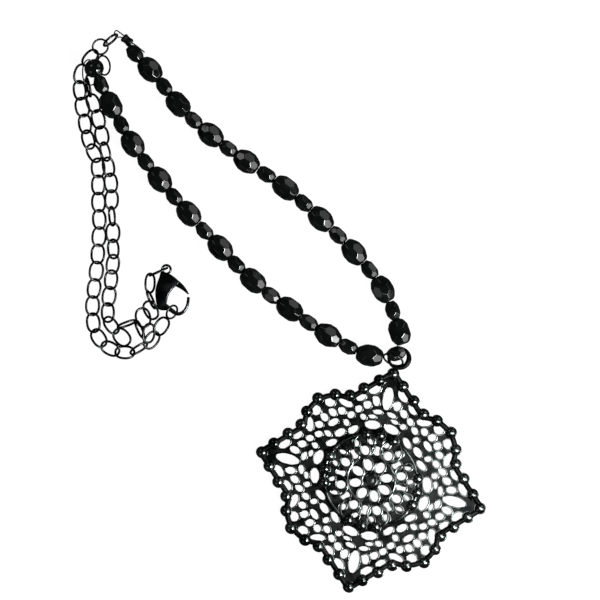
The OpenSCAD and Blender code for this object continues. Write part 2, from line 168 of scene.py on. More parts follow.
def sweep(path: np.ndarray, radii: float | np.ndarray, sides: int, up: np.ndarray = UP,
          closed: bool = False) -> Surface:
    """Round wire along a path.

    A point of the surface is the path's point plus the radius times cos(a) along the side
    direction and sin(a) along the upward one, where the side is the path's direction crossed
    with the given upward direction.

    Args:
        path: Points of the centre line.
        radii: Wire radius, one for the whole path or one for each point.
        sides: Points round the wire.
        up: Direction that the wire's side stays square to.
        closed: Whether the path joins up with its start.

    Returns:
        The points and the faces, with flat ends where the path is open.
    """
    if closed:
        along = unit(np.roll(path, -1, axis=0) - np.roll(path, 1, axis=0))
    else:
        along = unit(np.gradient(path, axis=0))
    side = unit(np.cross(along, up))
    lift = np.cross(side, along)
    a = round_turn(sides)
    ring = np.cos(a)[None, :, None] * side[:, None] + np.sin(a)[None, :, None] * lift[:, None]
    points = path[:, None] + np.broadcast_to(radii, len(path))[:, None, None] * ring
    return points.reshape(-1, 3), grid_faces(len(path), sides, closed)


def smooth_curve(knots: np.ndarray, steps: int, closed: bool = False) -> np.ndarray:
    """Smooth curve through points, each stretch the cubic that its four nearest points give.

    Args:
        knots: Points to pass through, in order.
        steps: Points to each stretch.
        closed: Whether the curve returns to its start.

    Returns:
        The points of the curve.
    """
    knots = np.asarray(knots, float)
    n = len(knots)
    i = np.arange(n if closed else n - 1)
    index = [(i + d) % n if closed else np.clip(i + d, 0, n - 1) for d in (-1, 0, 1, 2)]
    p0, p1, p2, p3 = (knots[j][:, None] for j in index)
    t = np.linspace(0, 1, steps, endpoint=False)[None, :, None]
    curve = 0.5 * (2 * p1 + (p2 - p0) * t + (2 * p0 - 5 * p1 + 4 * p2 - p3) * t ** 2
                   + (3 * p1 - p0 - 3 * p2 + p3) * t ** 3)
    curve = curve.reshape(-1, knots.shape[1])
    return curve if closed else np.vstack([curve, knots[-1:]])


def revolve(profile: np.ndarray, sides: int) -> Surface:
    """Surface of revolution: each radius of the profile times cos(a) and sin(a), at its height.

    Args:
        profile: Rows of radius and height, upwards, with a flat face over the first and the last.
        sides: Points round the upright axis.

    Returns:
        The points and the faces.
    """
    a = round_turn(sides)
    radius, height = profile[:, 0:1], profile[:, 1:2]
    rings = np.stack([radius * np.cos(a), radius * np.sin(a), np.repeat(height, sides, axis=1)], axis=-1)
    return rings.reshape(-1, 3), grid_faces(len(profile), sides, False)


def ball(centre: np.ndarray, radius: float, rows: int = 13, sides: int = 24, pole: float = 84) -> Surface:
    """Ball whose rings follow cos and sin of the height angle, up to a tiny flat face at each pole."""
    points, faces = revolve(radius * on_circle(np.radians(np.linspace(-pole, pole, rows))), sides)
    return points + centre, faces


def pillow(outline: np.ndarray, low: float, high: float, inset: float, steps: int) -> Surface:
    """Flat casting with rounded edges.

    The height follows sin(a) from the lower face to the upper one, and the outline draws in
    along its own normals by the inset times one less cos(a).

    Args:
        outline: Points round the outline, anticlockwise.
        low: Height of the lower face.
        high: Height of the upper face.
        inset: How far the rounding reaches in.
        steps: Rings between the two faces.

    Returns:
        The points and the faces, closed by a flat face above and below.
    """
    along = unit(np.roll(outline, -1, axis=0) - np.roll(outline, 1, axis=0))
    inward = np.stack([-along[:, 1], along[:, 0]], axis=1)
    a = np.linspace(-np.pi / 2, np.pi / 2, steps)
    flat = outline[None] + (inset * (1 - np.cos(a)))[:, None, None] * inward[None]
    height = (low + high) / 2 + (high - low) / 2 * np.sin(a)
    heights = np.broadcast_to(height[:, None, None], flat.shape[:2] + (1,))
    points = np.concatenate([flat, heights], axis=2)
    return points.reshape(-1, 3), grid_faces(steps, len(outline), False)


def set_inputs(node: bpy.types.Node, values: dict[str, float | tuple[float, ...]]) -> None:
    """Sets a node's inputs by their names."""
    for name, value in values.items():
        node.inputs[name].default_value = value


@dataclass
class Paint:
    """A node material in the making, with its patterns on Object coordinates."""

    name: str

    def __post_init__(self) -> None:
        """Makes the material with its shader and coordinates."""
        self.material = bpy.data.materials.new(self.name)
        self.material.use_nodes = True
        self.nodes = self.material.node_tree.nodes
        self.links = self.material.node_tree.links
        self.shader = self.nodes["Principled BSDF"]
        self.where = self.nodes.new("ShaderNodeTexCoord")

    def clouds(self, scale: float, detail: float) -> bpy.types.NodeSocket:
        """Returns the value of a cloudy pattern with scale clouds per metre."""
        noise = self.nodes.new("ShaderNodeTexNoise")
        set_inputs(noise, {"Scale": scale, "Detail": detail})
        self.links.new(self.where.outputs["Object"], noise.inputs["Vector"])
        return noise.outputs["Fac"]

    def colour(self, value: bpy.types.NodeSocket, *stops: tuple[float, Spot]) -> None:
        """Colours the shader by a pattern's value, blending between two stops of value and colour."""
        ramp = self.nodes.new("ShaderNodeValToRGB")
        for element, (place, tint) in zip(ramp.color_ramp.elements, stops):
            element.position = place
            element.color = (*tint, 1)
        self.links.new(value, ramp.inputs["Fac"])
        self.links.new(ramp.outputs["Color"], self.shader.inputs["Base Color"])


class Slot(Enum):
    """Material slots of the record."""

    GLASS = "black_glass"
    STRING = "string_wire"
    CRIMP = "crimp_metal"
    CHAIN = "chain_metal"
    CLASP = "clasp_metal"
    PENDANT = "pendant_metal"


@dataclass(frozen=True)
class Finish:
    """Procedural finish with patchy colour and gloss and a fine relief.

    The colour and roughness run between two values with a cloudy pattern of patch_scale
    clouds per metre, and the relief comes from a finer pattern.
    """

    name: str
    dark: Spot
    light: Spot
    rough_low: float
    rough_high: float
    patch_scale: float
    relief_scale: float
    relief_height: float
    metallic: float = 1.0
    ior: float = 1.5
    patch_detail: float = 4
    relief_detail: float = 3
    # values of the cloudy pattern between which the colour and the roughness run
    colour_run: Flat = (0.38, 0.66)
    rough_run: Flat = (0.35, 0.7)

    def build(self) -> bpy.types.Material:
        """Makes the node material."""
        paint = Paint(self.name)
        set_inputs(paint.shader, {"Metallic": self.metallic, "IOR": self.ior})
        patches = paint.clouds(self.patch_scale, self.patch_detail)
        paint.colour(patches, (self.colour_run[0], self.dark), (self.colour_run[1], self.light))
        gloss = paint.nodes.new("ShaderNodeMapRange")
        set_inputs(gloss, {"From Min": self.rough_run[0], "From Max": self.rough_run[1],
                           "To Min": self.rough_low, "To Max": self.rough_high})
        paint.links.new(patches, gloss.inputs["Value"])
        paint.links.new(gloss.outputs["Result"], paint.shader.inputs["Roughness"])
        relief = paint.nodes.new("ShaderNodeBump")
        set_inputs(relief, {"Strength": 1, "Distance": self.relief_height})
        paint.links.new(paint.clouds(self.relief_scale, self.relief_detail), relief.inputs["Height"])
        paint.links.new(relief.outputs["Normal"], paint.shader.inputs["Normal"])
        return paint.material


FINISHES = {
    Slot.GLASS: Finish("fire_polished_black_glass", (0.0005, 0.0007, 0.0006), (0.002, 0.0025, 0.0023),
                       0.04, 0.12, 260, 900, 0.000006, 0.0, 1.52),
    Slot.STRING: Finish("dark_string_wire", (0.02, 0.021, 0.022), (0.07, 0.072, 0.075),
                        0.25, 0.42, 900, 4000, 0.000008),
    Slot.CRIMP: Finish("dark_crimp_tube", (0.012, 0.0125, 0.013), (0.045, 0.047, 0.05),
                       0.3, 0.46, 700, 2500, 0.00002),
    Slot.CHAIN: Finish("black_plated_chain", (0.01, 0.011, 0.0115), (0.04, 0.042, 0.043),
                       0.2, 0.38, 420, 2200, 0.000015),
    Slot.CLASP: Finish("black_plated_clasp", (0.012, 0.0135, 0.014), (0.045, 0.048, 0.05),
                       0.14, 0.26, 350, 1400, 0.00003),
    Slot.PENDANT: Finish("black_plated_casting", (0.026, 0.031, 0.03), (0.14, 0.155, 0.15),
                         0.12, 0.24, 320, 1500, 0.00003),
}
# darker copy of the pendant metal: its colour is painted shade that keeps the plate's flats, the border rim
# and the bail ring's far side dark, and its higher roughness gives a matte cast ground
SHADED_MATTE_GROUND = Finish("dull_casting_ground", (0.003, 0.0035, 0.0035), (0.012, 0.0135, 0.013),
                      0.42, 0.62, 320, 1500, 0.00004)


@dataclass
class Dresser:
    """Makes pieces with their finish, their body and the CAD nodes that they stand for."""

    materials: dict[Finish, bpy.types.Material] = field(default_factory=dict)

    def material(self, finish: Finish) -> bpy.types.Material:
        """Returns the finish's material, made on first use."""
        if finish not in self.materials:
            self.materials[finish] = finish.build()
        return self.materials[finish]

    def make(self, name: str, surfaces: list[Surface], slot: Slot, *nodes: str, body: str = NECKLACE,
             finish: Finish | None = None) -> bpy.types.Object:
        """Makes a piece and lets it ride.

        Args:
            name: Name of the piece.
            surfaces: Points in millimetres and faces of each of its surfaces.
            slot: Material slot that it is finished from.
            nodes: CAD nodes that it replaces.
            body: CAD body that it moves with.
            finish: A finish other than the slot's own.

        Returns:
            The new object.
        """
        piece = mesh_object(name, surfaces)
        piece.data.materials.append(self.material(finish or FINISHES[slot]))
        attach(piece, body)
        if nodes:
            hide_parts(*nodes)
        LOG.info("%s: %d faces", piece.name, len(piece.data.polygons))
        return piece

    def refinish(self, node: bpy.types.Object, finish: Finish) -> None:
        """Puts a finish's material on a CAD node that stays."""
        for i in range(len(node.material_slots)):
            node.material_slots[i].material = self.material(finish)
        LOG.info("%s stays", node.name)


@dataclass
class Maker:
    """What makes pieces: it has the dresser and the CAD nodes by name."""

    dresser: Dresser
    nodes: dict[str, bpy.types.Object]


@dataclass(frozen=True)
class FacetRow:
    """One row of facets round a bead: how many, their tilt from the waist and their first angle."""

    count: int
    tilt: float
    first: float


# least determinant of three facets that meet, how far a corner may stand out of the bead and lie
# off its facets, and the decimals at which two corners are one
LEAST_TURN = 1e-4
STAND_OUT = 1e-6
ON_FACET = 1e-3
CORNER_DECIMALS = 5


@dataclass(frozen=True)
class BeadCut:
    """Faceted glass bead along the upright axis, cut out of an ellipsoid by flat facets.

    Each facet is the plane that touches the ellipsoid where its normal has the row's tilt, and
    the bead is what lies inside all of them and between its two flat ends. At the ends the
    ellipsoid's width is end_share of its full width.
    """

    length: float
    width: float
    rows: tuple[FacetRow, ...]
    edge: float
    end_share: float
    bore: float = 0.45
    bore_depth: float = 0.9
    bore_taper: float = 0.9

    def planes(self) -> tuple[np.ndarray, np.ndarray]:
        """Returns the outward normals of all facets, the two ends last, and their distances."""
        tilts = np.concatenate([np.full(row.count, row.tilt) for row in self.rows])
        angles = np.concatenate([row.first + np.arange(row.count) * 360 / row.count for row in self.rows])
        t, a = np.radians(tilts), np.radians(angles)
        normals = np.stack([np.cos(t) * np.cos(a), np.cos(t) * np.sin(a), np.sin(t)], axis=1)
        half = self.length / 2
        long_axis = half / math.sqrt(1 - self.end_share ** 2)
        reach = np.hypot(self.width / 2 * np.cos(t), long_axis * np.sin(t))
        return np.vstack([normals, UP, -UP]), np.concatenate([reach, [half, half]])

    def corners(self, normals: np.ndarray, reach: np.ndarray) -> np.ndarray:
        """Returns the points where three facets meet and no other facet cuts them off, one row each."""
        i, j, k = np.meshgrid(*[np.arange(len(normals))] * 3, indexing="ij")
        pick = (i < j) & (j < k)
        triples = np.stack([i[pick], j[pick], k[pick]], axis=1)
        triples = triples[np.abs(np.linalg.det(normals[triples])) > LEAST_TURN]
        meets = np.linalg.solve(normals[triples], reach[triples][..., None])[..., 0]
        inside = np.all(meets @ normals.T <= reach + STAND_OUT, axis=1)
        return np.unique(np.round(meets[inside], CORNER_DECIMALS), axis=0)

    @staticmethod
    def facet(corners: np.ndarray, normal: np.ndarray, distance: float) -> np.ndarray:
        """Numbers of the corners of one facet.

        Args:
            corners: All corners of the bead.
            normal: The facet's outward normal.
            distance: Its distance from the middle.

        Returns:
            The numbers, anticlockwise from outside, or none where other facets cut this one off.
        """
        on = np.flatnonzero(np.abs(corners @ normal - distance) < ON_FACET)
        if len(on) < 3:
            return on[:0]
        spokes = corners[on] - corners[on].mean(axis=0)
        side = unit(spokes[0])
        return on[np.argsort(np.arctan2(spokes @ np.cross(normal, side), spokes @ side))]

    def surface(self) -> Surface:
        """Returns the bead's surface at its full length and width, with a hole sunk into each end."""
        normals, reach = self.planes()
        corners = self.corners(normals, reach)
        scale = self.width / 2 / np.hypot(corners[:, 0], corners[:, 1]).max()
        *facets, top, bottom = [self.facet(corners, *plane) for plane in zip(normals, reach)]
        faces = [on.tolist() for on in facets if len(on)]
        parts = [corners]
        count = len(corners)
        for rim, depth in ((top, self.bore_depth), (bottom, -self.bore_depth)):
            across, height = unit(corners[rim, :2]) * self.bore / scale, corners[rim, 2]
            parts.append(np.column_stack([across, height]))
            parts.append(np.column_stack([across * self.bore_taper, height - depth]))
            mouth = count + np.arange(len(rim))
            floor = mouth + len(rim)
            for outer, inner in ((rim, mouth), (mouth, floor)):
                band = np.stack([outer, np.roll(outer, -1), np.roll(inner, -1), inner], axis=1)
                faces.extend(band.tolist())
            faces.append(floor.tolist())
            count += 2 * len(rim)
        points = np.vstack(parts)
        points[:, :2] *= scale
        return points, faces


def string_order() -> list[str]:
    """Returns the CAD nodes of the faceted beads along the string, small and large ones by turns."""
    return [f"{size}_bead_{i:02d}" for i in range(1, SMALL_COUNT + 1) for size in ("small", "large")][:-1]


def bead_lie(node: bpy.types.Object) -> tuple[np.ndarray, np.ndarray]:
    """Middle and long axis of a CAD bead, the axis being the way that its points spread most.

    Args:
        node: The CAD bead.

    Returns:
        The middle in millimetres and the axis, pointing on along the string.
    """
    spots = np.empty(len(node.data.vertices) * 3)
    node.data.vertices.foreach_get("co", spots)
    spots = np.unique(np.round(spots.reshape(-1, 3) / MM, 3), axis=0)
    middle = (spots.min(axis=0) + spots.max(axis=0)) / 2
    axis = np.linalg.eigh((spots - middle).T @ (spots - middle))[1][:, -1]
    onward = turn(z=STRING_HEADING)[:, 0]
    return middle, axis if axis @ onward > 0 else -axis


@dataclass
class Beads(Maker):
    """The string of faceted beads, each lying where its CAD bead lies."""

    large: BeadCut = BeadCut(6.95, 6.0, (
        FacetRow(8, 0.0, 22.5), FacetRow(8, 29.0, 0.0), FacetRow(8, -29.0, 0.0),
        FacetRow(8, 57.0, 22.5), FacetRow(8, -57.0, 22.5)), edge=0.14, end_share=0.44)
    small: BeadCut = BeadCut(4.9, 4.0, (
        FacetRow(7, 0.0, 180 / 7), FacetRow(7, 33.0, 0.0), FacetRow(7, -33.0, 0.0)), edge=0.1, end_share=0.46)
    # heading and tilt from upright of the facing that the side light meets best
    light_heading: float = -22.0
    light_tilt: float = 33.0
    # most degrees that a bead is turned away from the light, and the seed of those turns
    spread: float = 10.0
    seed: int = 18
    # gap left between beads, below zero where they meet, and the most that a bead is drawn out
    least_gap: float = -0.04
    most_stretch: float = 0.36
    edge_segments: int = 2
    edge_angle: float = 9.0
    # width and length
    end_size: Flat = (5.3, 4.9)
    # height angles of the end bead's rims, their swell as a share of the radius, and their reach
    end_rims: tuple[float, ...] = (-24.0, -42.0)
    end_rim_swell: float = 0.04
    end_rim_reach: float = 3.0
    end_pole: float = 78.0
    end_rows: int = 79
    end_sides: int = 48

    def bead(self, node: str, cut: BeadCut, away: float) -> None:
        """One bead, turned so that a facet of its second row catches the side light.

        Args:
            node: CAD bead that it replaces.
            cut: How the bead is cut.
            away: Degrees that it is turned away from the facing that the light meets best.
        """
        middle, axis = bead_lie(self.nodes[node])
        facing = turn(y=self.light_tilt, z=self.light_heading)[:, 2]
        first = unit(facing - (facing @ axis) * axis)
        second = np.cross(axis, first)
        c, s = math.cos(math.radians(away)), math.sin(math.radians(away))
        basis = np.stack([c * first + s * second, c * second - s * first, axis])
        points, faces = cut.surface()
        surface = (points @ basis + middle, faces)
        piece = self.dresser.make(f"faceted_{node}", [surface], Slot.GLASS, node)
        bevel = piece.modifiers.new("polished_edges", "BEVEL")
        bevel.width = cut.edge * MM
        bevel.segments = self.edge_segments
        bevel.harden_normals = True
        bevel.limit_method = "ANGLE"
        bevel.angle_limit = math.radians(self.edge_angle)

    def fitted(self, order: list[str]) -> list[BeadCut]:
        """Cuts drawn out so that each bead nearly meets its neighbours on the string.

        Args:
            order: Node of every bead, along the string.

        Returns:
            The cuts, each longer by the smaller of its bead's two gaps less the least gap.
        """
        cuts = [self.small if node.startswith("small") else self.large for node in order]
        middles = np.array([bead_lie(self.nodes[node])[0] for node in order])
        lengths = np.array([cut.length for cut in cuts])
        gaps = np.linalg.norm(np.diff(middles, axis=0), axis=1) - (lengths[1:] + lengths[:-1]) / 2
        nearest = np.minimum(np.append(gaps, self.most_stretch), np.append(self.most_stretch, gaps))
        longer = np.clip(nearest - self.least_gap, 0, self.most_stretch)
        return [replace(cut, length=cut.length + more) for cut, more in zip(cuts, longer)]

    def build(self) -> None:
        """Makes every bead along the string, and the end bead."""
        order = string_order()
        turns = np.random.default_rng(self.seed).uniform(-self.spread, self.spread, len(order))
        for node, cut, away in zip(order, self.fitted(order), turns):
            self.bead(node, cut, away)
        self.end_bead()

    def end_bead(self) -> None:
        """Round bead at the second end, with two fine rims.

        Its outline is an ellipse by the cosine and sine of the height angle, and at each rim
        the radius swells by a narrow bell curve.
        """
        a = np.linspace(-self.end_pole, self.end_pole, self.end_rows)
        bells = sum(np.exp(-((a - rim) / self.end_rim_reach) ** 2) for rim in self.end_rims)
        profile = on_circle(np.radians(a)) * np.array(self.end_size) / 2
        profile[:, 0] *= 1 + self.end_rim_swell * bells
        points, faces = revolve(profile, self.end_sides)
        surface = (points @ axis_rows(END_BEAD_AXIS) + END_BEAD, faces)
        self.dresser.make("round_end_bead", [surface], Slot.GLASS, "end_bead")


@dataclass(frozen=True)
class LinkShape:
    """One oval wire link with slightly full shoulders, long way along X."""

    length: float = 5.76
    width: float = 4.56
    wire: float = 0.66
    fullness: float = 2.3
    steps: int = 28
    sides: int = 10

    def path(self) -> np.ndarray:
        """Centre line in its own plane, by the rule of a superellipse.

        Along each half axis the place is the cosine or sine of the angle, keeping its sign,
        to the power of two over the fullness; a fullness of two gives a plain ellipse.
        """
        ways = on_circle(round_turn(self.steps))
        halves = [(self.length - self.wire) / 2, (self.width - self.wire) / 2]
        return raised(halves * np.sign(ways) * np.abs(ways) ** (2 / self.fullness), 0)

    def placed(self, place: np.ndarray, heading: float, roll: float) -> Surface:
        """Returns the link's surface at a place, rolled about its long way and turned to a heading."""
        basis = turn(x=roll, z=heading)
        return sweep(self.path() @ basis.T + place, self.wire / 2, self.sides, basis[:, 2], True)


@dataclass
class Chain(Maker):
    """The chain's runs. A run's table gives the joints between its links as read off the photo."""

    link: LinkShape = LinkShape()
    rest_lift: float = 0.02
    # across, down, roll of the link that starts there
    outer: Rows = (
        (97.2, 50.4, 36), (83.5, 66, -30), (78.8, 82, 34), (81, 99, -25), (84, 115.5, 32),
        (86.5, 132.5, -38), (90.5, 147, 32), (98, 159.5, -30), (98.5, 176.5, 28), (98.5, 193.5, -28),
        (99, 211, 28), (100, 228, -25), (98.5, 245.5, 28), (97.5, 262.5, -26), (95.5, 280, 28),
        (93, 297, -28), (92.5, 314.5, 28), (94.5, 331, -28), (103.5, 345, 30), (117.5, 352, -35),
        (132.5, 352.5, 66), (145.5, 344.5, 0))
    inner: Rows = (
        (87, 79.5, 78), (90.5, 95.5, -34), (96.5, 111.5, 28), (100.5, 127.5, -28), (103.5, 144, 52),
        (107.5, 159.5, -42), (110, 174.5, 28), (112, 191.5, -30), (111.5, 208, 66), (113, 224.5, -26),
        (113, 241, 42), (114, 257, -34), (112, 271.5, 30), (110.5, 288, -28), (108, 304.5, 32),
        (108, 320.5, -40), (115, 330, 0))
    hook: Rows = ((146.7, 346.8, 32), (156.8, 333.3, -30), (166.2, 319.2, 0))
    # x, y, z, heading, roll
    tail: Rows = (
        (-42.3, -7.2, 1.5, -48, 6), (-41, -3.6, 2.2, 20, 75), (-37.5, -5, 2.3, -66, 70),
        (-35, -6.1, 3.8, 82, 40), (-36.6, -1.9, 1.4, 102, 12), (-34.5, 0.1, 1.6, -62, 28),
        (-34.4, 2.9, 2.2, -66, 75), (-34.7, 7.4, 1.9, 88, 52), (-32.4, 10.45, 2.45, 24, 92))

    def run(self, joints: Rows) -> list[Surface]:
        """Links between neighbouring joints, each rolled about its length and resting on the table.

        Args:
            joints: The run's table.

        Returns:
            The surface of each link.
        """
        table = np.array(joints)
        spots = (table[:, :2] - ORIGIN_PIXEL) * [PIXEL, -PIXEL]
        reach = (self.link.width - self.link.wire) / 2
        links = []
        for here, there, roll in zip(spots[:-1], spots[1:], table[:-1, 2]):
            z = reach * abs(math.sin(math.radians(roll))) + self.link.wire / 2 + self.rest_lift
            heading = math.degrees(math.atan2(*(there - here)[::-1]))
            links.append(self.link.placed(np.append((here + there) / 2, z), heading, roll))
        return links

    def build(self) -> None:
        """Makes the three runs and the slack links between the inner run and the clasp."""
        slack = [self.link.placed(np.array(row[:3]), *row[3:]) for row in self.tail]
        for name, node, links in (("chain_outer_links", "chain_outer", self.run(self.outer)),
                                  ("chain_inner_links", "chain_inner", self.run(self.inner)),
                                  ("chain_hook_links", "chain_hook", self.run(self.hook)),
                                  ("chain_slack_links", "chain_tail", slack)):
            self.dresser.make(name, links, Slot.CHAIN, node)


@dataclass(frozen=True)
class WireRing:
    """A ring of round wire with a fine cut in it: its middle, turns about x, y and z, and sizes."""

    name: str
    node: str
    middle: Spot
    turns: Spot
    radius: float
    wire: float
    cut_at: float
    cut: float = 0.05
    steps: int = 56
    sides: int = 12

    def surface(self) -> Surface:
        """Returns the ring's surface, an open circle whose ends almost meet."""
        gap = self.cut / self.radius / 2
        a = math.radians(self.cut_at) + np.linspace(gap, 2 * np.pi - gap, self.steps)
        basis = turn(*self.turns)
        line = self.radius * on_circle(a) @ basis[:, :2].T + self.middle
        return sweep(line, self.wire, self.sides, basis[:, 2])


@dataclass
class Fittings(Maker):
    """The loose rings, the crimp and the stringing wire."""

    rings: tuple[WireRing, ...] = (
        WireRing("crimp_jump_ring", "jump_ring", (-45.35, 72.9, 2.5), (76, 0, 40), 2.25, 0.34, 60),
        WireRing("chain_end_ring", "end_ring", (-48.1, 71.15, 1.63), (14, 10, 0), 2.07, 0.29, 120),
        WireRing("wire_oval_ring", "oval_ring", (-47.2, 66.1, 2.4), (0, -48, 12), 2.6, 0.27, 15),
        WireRing("clasp_hook_ring", "hook_ring", (-28.8, -0.4, 1.9), (50, 0, 60), 1.9, 0.29, 200))
    # the bail link: its end at the bead string, and its turns and sizes from there
    bail_link_end: Spot = (28.35, -12.15, 2.68)
    bail_link_turns: Spot = (60.3, 0, -23.5)
    bail_link_radius: float = 2.74
    bail_link_wire: float = 0.27
    bail_link_cut_at: float = 250
    # radius and distance from the waist along one half of the crimp, from its bore outwards
    crimp_half: Rows = (
        (0.7, 0.9), (0.78, 1.28), (1.0, 1.4), (1.18, 1.2), (1.2, 0.75), (1.08, 0.3))
    crimp_squeeze: float = 0.86
    crimp_steps: int = 5
    crimp_sides: int = 40
    # how far the wire's two strands lie aside in the crimp, and where they leave it along its axis
    strand_aside: float = 0.35
    strand_ends: Flat = (1.6, -1.5)
    string_radius: float = 0.18
    string_steps: int = 6
    string_sides: int = 10
    tail: Rows = (
        (-36.1, 69.5, 4.7), (-37.2, 70.4, 4.4), (-38.3, 71.3, 3.9), (-39.1, 71.9, 2.8))
    first_loop: Rows = (
        (-42.9, 75, 1.8), (-43.8, 75.5, 2), (-44.3, 74.8, 2.1), (-43.7, 73.7, 1.9))
    last_loop: Rows = (
        (-50.6, 67.3, 6.4), (-51.9, 67.1, 6.1), (-52.7, 65.4, 4.8), (-52.8, 63, 2.2), (-52.2, 61.5, 1.2),
        (-50.8, 60.8, 1), (-49.5, 61.4, 1), (-49.2, 62.2, 1))

    def build(self) -> None:
        """Makes the rings, the crimp and the wire."""
        for ring in (*self.rings, self.bail_link()):
            self.dresser.make(ring.name, [ring.surface()], Slot.CHAIN, ring.node)
        self.crimp()
        self.string_wire()

    def bail_link(self) -> WireRing:
        """Returns the ring that ties the pendant to the string, its middle one radius from its end."""
        outward = turn(*self.bail_link_turns)[:, 0]
        middle = np.array(self.bail_link_end) + self.bail_link_radius * outward
        return WireRing("pendant_bail_link", "bail_link", tuple(middle), self.bail_link_turns,
                        self.bail_link_radius, self.bail_link_wire, self.bail_link_cut_at)

    def crimp(self) -> None:
        """Squeezed tube, drawn in at its waist, its profile a smooth curve through a few radii."""
        half = np.array(self.crimp_half)
        profile = smooth_curve(np.vstack([half * [1, -1], half[::-1]]), self.crimp_steps)
        points, faces = revolve(profile, self.crimp_sides)
        surface = (points * [1, self.crimp_squeeze, 1] @ axis_rows(CRIMP_AXIS) + CRIMP, faces)
        self.dresser.make("squeezed_crimp_tube", [surface], Slot.CRIMP, "crimp")

    def string_route(self) -> np.ndarray:
        """Returns the wire's knots: tail, first loop, every bead's middle and gap's, and last loop."""
        side, _, axis = axis_rows(CRIMP_AXIS)
        ends = np.array(CRIMP) + np.outer(self.strand_ends, axis)
        upper = ends - self.strand_aside * side
        lower = ends[::-1] + self.strand_aside * side
        middles = np.array([bead_lie(self.nodes[node])[0] for node in string_order()] + [END_BEAD])
        string = np.empty((2 * len(middles) - 1, 3))
        string[::2] = middles
        string[1::2] = (middles[1:] + middles[:-1]) / 2
        return np.vstack([self.tail, upper, self.first_loop, lower, string, self.last_loop])

    def string_wire(self) -> None:
        """The stringing wire, one smooth curve from the tail at the crimp to the loop round the end bead."""
        line = smooth_curve(self.string_route(), self.string_steps)
        wire = sweep(line, self.string_radius, self.string_sides)
        self.dresser.make("looped_string_wire", [wire], Slot.STRING, "stringing_wire")


@dataclass
class Clasp(Maker):
    """The lobster clasp: a slotted body with its hook and tail ring, and the lever on its pin."""

    thickness: float = 2.6
    slot: float = 1.2
    cheek_rounding: float = 0.3
    # how far the web reaches into the cheeks, and its own rounding
    web_reach: float = 0.3
    web_rounding: float = 0.05
    lever_thickness: float = 1.0
    lever_rounding: float = 0.28
    rounding_steps: int = 7
    web_steps: int = 3
    curve_steps: int = 6
    pivot: Flat = (-29.2, 7.9)
    body: Rows = (
        (-31.6, 10.4), (-29.1, 9.7), (-26.9, 7.6), (-28.6, 5.8), (-29.9, 3.6),
        (-30.2, 1.6), (-29.3, 0.5), (-31.2, 0.0), (-32.7, 0.8), (-33.3, 4.4), (-33.0, 6.8), (-32.2, 9.0))
    # the web's corners along the slot, in place of the body's second, third and fourth
    web: Rows = ((-30.9, 10.1), (-31.0, 8.3), (-30.95, 6.4), (-29.9, 4.9))
    # x, y, radius
    hook: Rows = (
        (-30.6, 1.2, 0.75), (-29.0, 0.1, 0.62), (-27.3, -0.9, 0.52), (-25.7, -0.3, 0.46),
        (-24.7, 1.3, 0.42), (-24.4, 3.0, 0.40), (-24.4, 3.55, 0.36), (-24.4, 3.68, 0.2))
    hook_sides: int = 16
    lever: Rows = (
        (-0.6, 1.0), (0.6, 1.2), (2.4, 0.0), (3.8, -1.4), (4.9, -3.2), (4.6, -3.5), (3.5, -2.6),
        (2.2, -1.8), (0.9, -1.2), (-0.4, -1.1), (-1.1, -0.3))
    ring_middle: Flat = (-30.3, 11.1)
    ring_radius: float = 1.15
    ring_wire: float = 0.33
    ring_steps: int = 40
    ring_sides: int = 12

    def outline(self, corners: Rows) -> np.ndarray:
        """Returns a smooth outline through the corners, anticlockwise."""
        curve = smooth_curve(np.array(corners), self.curve_steps, True)
        area = np.sum(curve[:, 0] * np.roll(curve[:, 1], -1) - np.roll(curve[:, 0], -1) * curve[:, 1])
        return curve if area > 0 else curve[::-1]

    def casting(self) -> None:
        """Body: two rounded cheeks, the web between them behind the slot, the hook and the tail ring."""
        top = self.thickness
        cheek = (top - self.slot) / 2
        inner = cheek - self.web_reach
        body = self.outline(self.body)
        web = self.outline((self.body[0], *self.web, *self.body[4:]))
        rod = smooth_curve(np.array(self.hook), self.curve_steps)
        circle = self.ring_middle + self.ring_radius * on_circle(round_turn(self.ring_steps))
        surfaces = [
            pillow(body, 0.0, cheek, self.cheek_rounding, self.rounding_steps),
            pillow(body, top - cheek, top, self.cheek_rounding, self.rounding_steps),
            pillow(web, inner, top - inner, self.web_rounding, self.web_steps),
            sweep(raised(rod[:, :2], top / 2), rod[:, 2], self.hook_sides),
            sweep(raised(circle, top / 2), self.ring_wire, self.ring_sides, closed=True)]
        self.dresser.make("clasp_casting", surfaces, Slot.CLASP, "clasp_body")

    def thumb_lever(self) -> None:
        """Lever: one rounded arm from the pin to the pointed tip over the hook's end."""
        outline = self.outline(self.lever) + self.pivot
        mid, half = self.thickness / 2, self.lever_thickness / 2
        arm = pillow(outline, mid - half, mid + half, self.lever_rounding, self.rounding_steps)
        self.dresser.make("clasp_lever_arm", [arm], Slot.CLASP, "clasp_lever", body=LEVER)

    def build(self) -> None:
        """Makes the body and the lever and refinishes the pin."""
        self.casting()
        self.thumb_lever()
        self.dresser.refinish(self.nodes["clasp_pin"], FINISHES[Slot.CLASP])


